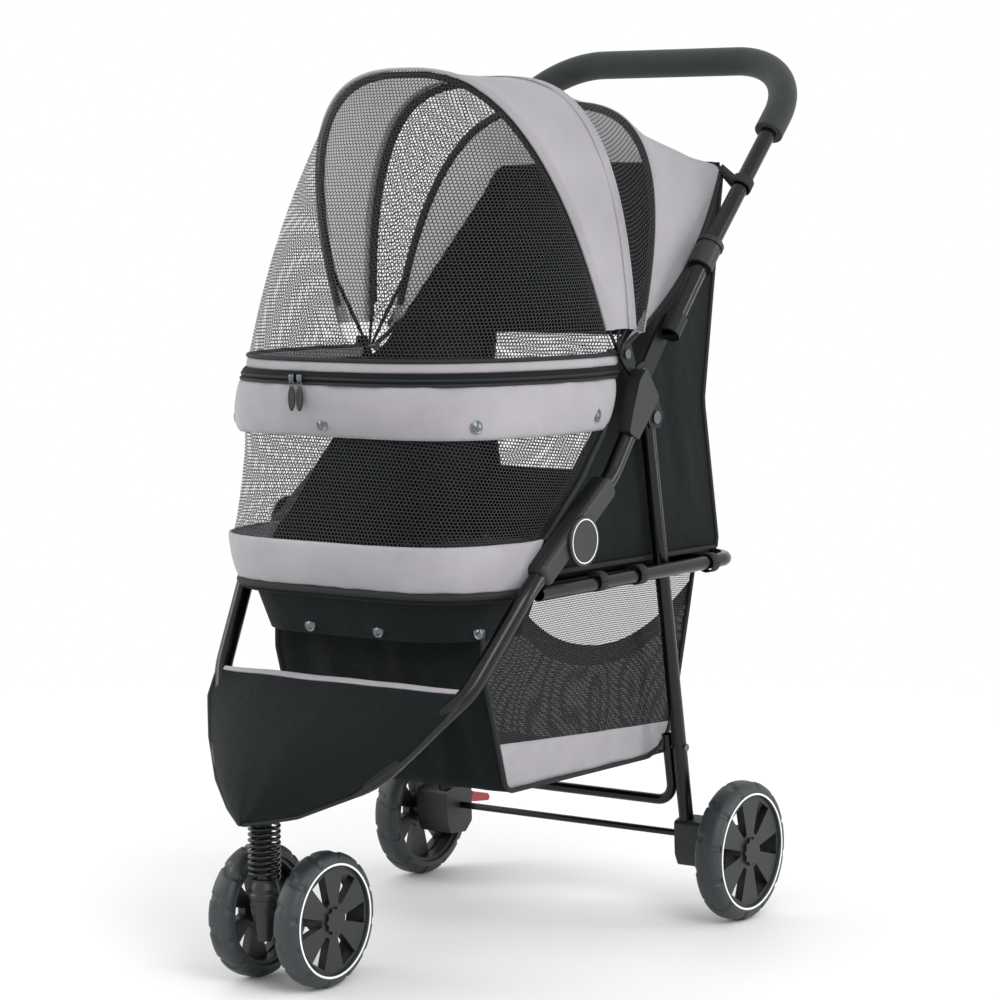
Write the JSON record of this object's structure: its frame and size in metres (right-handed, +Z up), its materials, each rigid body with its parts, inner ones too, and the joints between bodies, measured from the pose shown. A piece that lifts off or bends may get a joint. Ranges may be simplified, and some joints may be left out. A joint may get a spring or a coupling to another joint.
{
  "type": "pet stroller",
  "caption": "Three-wheel folding pet stroller with zipped mesh cabin, folding hood, storage basket, sprung swivel caster and foam push handle.",
  "frame": {"origin": "on the floor, under the middle of the whole stroller (bottom centre of its box)", "axes": "+Z up, -Y to the front (caster end), +Y to the rear where the handle is, +X across"},
  "size_m": [0.49, 0.8349, 1.006],
  "materials": {
    "painted_tube": "gloss black enamel on steel tube",
    "black_plastic": "moulded black nylon, lightly grained",
    "black_steel": "satin black powder coat",
    "steel_fasteners": "gunmetal plated",
    "grip_foam": "closed-cell foam, matte black",
    "grey_fabric": "warm light grey woven polyester",
    "black_fabric": "black woven polyester",
    "black_mesh": "black hexagonal see-through mesh",
    "mat_fabric": "padded black fabric",
    "wheel_tyre": "solid EVA tyre, satin",
    "brake_red": "red moulded pedal"
  },
  "bodies": {
    "chassis": {"front_tube_left": "painted_tube", "front_tube_right": "painted_tube", "front_hub": "black_plastic", "joint_sleeves": "black_plastic", "frame_screws": "steel_fasteners", "joint_caps": "black_plastic", "hinge_housings": "black_plastic", "hinge_plates": "black_steel", "hinge_pins": "steel_fasteners", "hood_pivot_pins": "steel_fasteners", "base_tube": "painted_tube", "cabin_board": "black_plastic", "cabin_pan": "black_fabric", "cabin_lower_band": "grey_fabric", "cabin_window": "black_mesh", "cabin_upper_band": "grey_fabric", "cabin_zipper": "black_fabric", "zipper_pulls": "steel_fasteners", "cabin_sides": "black_fabric", "cabin_back": "black_fabric", "floor_mat": "mat_fabric", "snap_buttons": "steel_fasteners", "basket": "black_fabric", "front_apron": "black_fabric", "hood_rear_cover": "grey_fabric", "suspension_spring": "black_steel"},
    "handle": {"handle_arms": "black_steel", "handle_tubes": "painted_tube", "handle_ferrules": "black_plastic", "handle_bar": "painted_tube", "handle_grip": "grip_foam"},
    "ferrule_button_left": {"ferrule_button_left": "black_plastic"},
    "ferrule_button_right": {"ferrule_button_right": "black_plastic"},
    "rear_legs": {"rear_legs": "painted_tube", "cross_brace": "painted_tube", "wheel_brackets": "black_plastic", "axle_rod": "painted_tube", "leg_pins": "steel_fasteners"},
    "brake_left": {"brake_pedal_left": "brake_red"},
    "brake_right": {"brake_pedal_right": "brake_red"},
    "rear_wheel_left": {"rear_wheel_left_tyre": "wheel_tyre", "rear_wheel_left_rim": "black_plastic"},
    "rear_wheel_right": {"rear_wheel_right_tyre": "wheel_tyre", "rear_wheel_right_rim": "black_plastic"},
    "caster_stem": {"caster_stem": "black_plastic"},
    "caster_fork": {"caster_fork": "black_plastic", "front_axle": "steel_fasteners"},
    "front_wheel_left": {"front_wheel_left_tyre": "wheel_tyre", "front_wheel_left_rim": "black_plastic"},
    "front_wheel_right": {"front_wheel_right_tyre": "wheel_tyre", "front_wheel_right_rim": "black_plastic"},
    "hood_rear": {"hood_hoop_rear": "black_steel"},
    "hood_mid": {"hood_hoop_mid": "black_steel", "hood_mid_mesh": "black_mesh"},
    "hood_front": {"hood_hoop_front": "black_steel", "hood_band": "grey_fabric", "hood_front_mesh": "black_mesh"}
  },
  "joints": [
    {"name": "handle_fold", "type": "hinge", "parent": "chassis", "child": "handle", "pos_m": [0, 0.052, 0.631], "axis": [1, 0, 0], "range_deg": [0, 145]},
    {"name": "rear_leg_fold", "type": "hinge", "parent": "chassis", "child": "rear_legs", "pos_m": [0, 0.08, 0.582], "axis": [-1, 0, 0], "range_deg": [0, 50], "deforming": ["basket", "cabin_lower_band", "cabin_window", "cabin_upper_band", "cabin_pan", "cabin_sides"]},
    {"name": "hood_fold", "type": "hinge", "parent": "chassis", "child": "hood_rear", "pos_m": [0, 0.02, 0.655], "axis": [-1, 0, 0], "range_deg": [0, 17.5], "deforming": ["hood_rear_cover", "hood_mid_mesh", "hood_band"]},
    {"name": "hood_mid_fold", "type": "hinge", "parent": "hood_rear", "child": "hood_mid", "pos_m": [0, 0.02, 0.655], "axis": [-1, 0, 0], "range_deg": [0, 17.5], "deforming": ["hood_mid_mesh", "hood_band"]},
    {"name": "hood_front_fold", "type": "hinge", "parent": "hood_mid", "child": "hood_front", "pos_m": [0, 0.02, 0.655], "axis": [-1, 0, 0], "range_deg": [0, 17.5], "deforming": ["hood_band"]},
    {"name": "suspension", "type": "slide", "parent": "chassis", "child": "caster_stem", "axis": [0, 0, 1], "range_m": [0, 0.012], "stiffness_N_per_m": 8000, "springref_m": -0.01, "deforming": ["suspension_spring"]},
    {"name": "caster_swivel", "type": "hinge", "parent": "caster_stem", "child": "caster_fork", "pos_m": [0, -0.385, 0.078], "axis": [0, 0, 1], "continuous": true},
    {"name": "front_wheel_left_spin", "type": "hinge", "parent": "caster_fork", "child": "front_wheel_left", "pos_m": [-0.044, -0.341, 0.072], "axis": [1, 0, 0], "continuous": true},
    {"name": "rear_wheel_left_spin", "type": "hinge", "parent": "rear_legs", "child": "rear_wheel_left", "pos_m": [-0.228, 0.195, 0.08], "axis": [1, 0, 0], "continuous": true},
    {"name": "brake_left_press", "type": "hinge", "parent": "rear_legs", "child": "brake_left", "pos_m": [-0.187, 0.217, 0.1], "axis": [-1, 0, 0], "range_deg": [0, 20]},
    {"name": "ferrule_button_left_press", "type": "slide", "parent": "handle", "child": "ferrule_button_left", "axis": [0, -0.7506, 0.6607], "range_m": [0, 0.002], "stiffness_N_per_m": 600, "springref_m": -0.002},
    {"name": "front_wheel_right_spin", "type": "hinge", "parent": "caster_fork", "child": "front_wheel_right", "pos_m": [0.044, -0.341, 0.072], "axis": [1, 0, 0], "continuous": true},
    {"name": "rear_wheel_right_spin", "type": "hinge", "parent": "rear_legs", "child": "rear_wheel_right", "pos_m": [0.228, 0.195, 0.08], "axis": [1, 0, 0], "continuous": true},
    {"name": "brake_right_press", "type": "hinge", "parent": "rear_legs", "child": "brake_right", "pos_m": [0.187, 0.217, 0.1], "axis": [-1, 0, 0], "range_deg": [0, 20]},
    {"name": "ferrule_button_right_press", "type": "slide", "parent": "handle", "child": "ferrule_button_right", "axis": [0, -0.7506, 0.6607], "range_m": [0, 0.002], "stiffness_N_per_m": 600, "springref_m": -0.002}
  ],
  "couplings": [
    {"joint": "rear_leg_fold", "follows": "handle_fold", "ratio": 0.3448},
    {"joint": "hood_mid_fold", "follows": "hood_fold", "ratio": 1},
    {"joint": "hood_front_fold", "follows": "hood_fold", "ratio": 1}
  ]
}
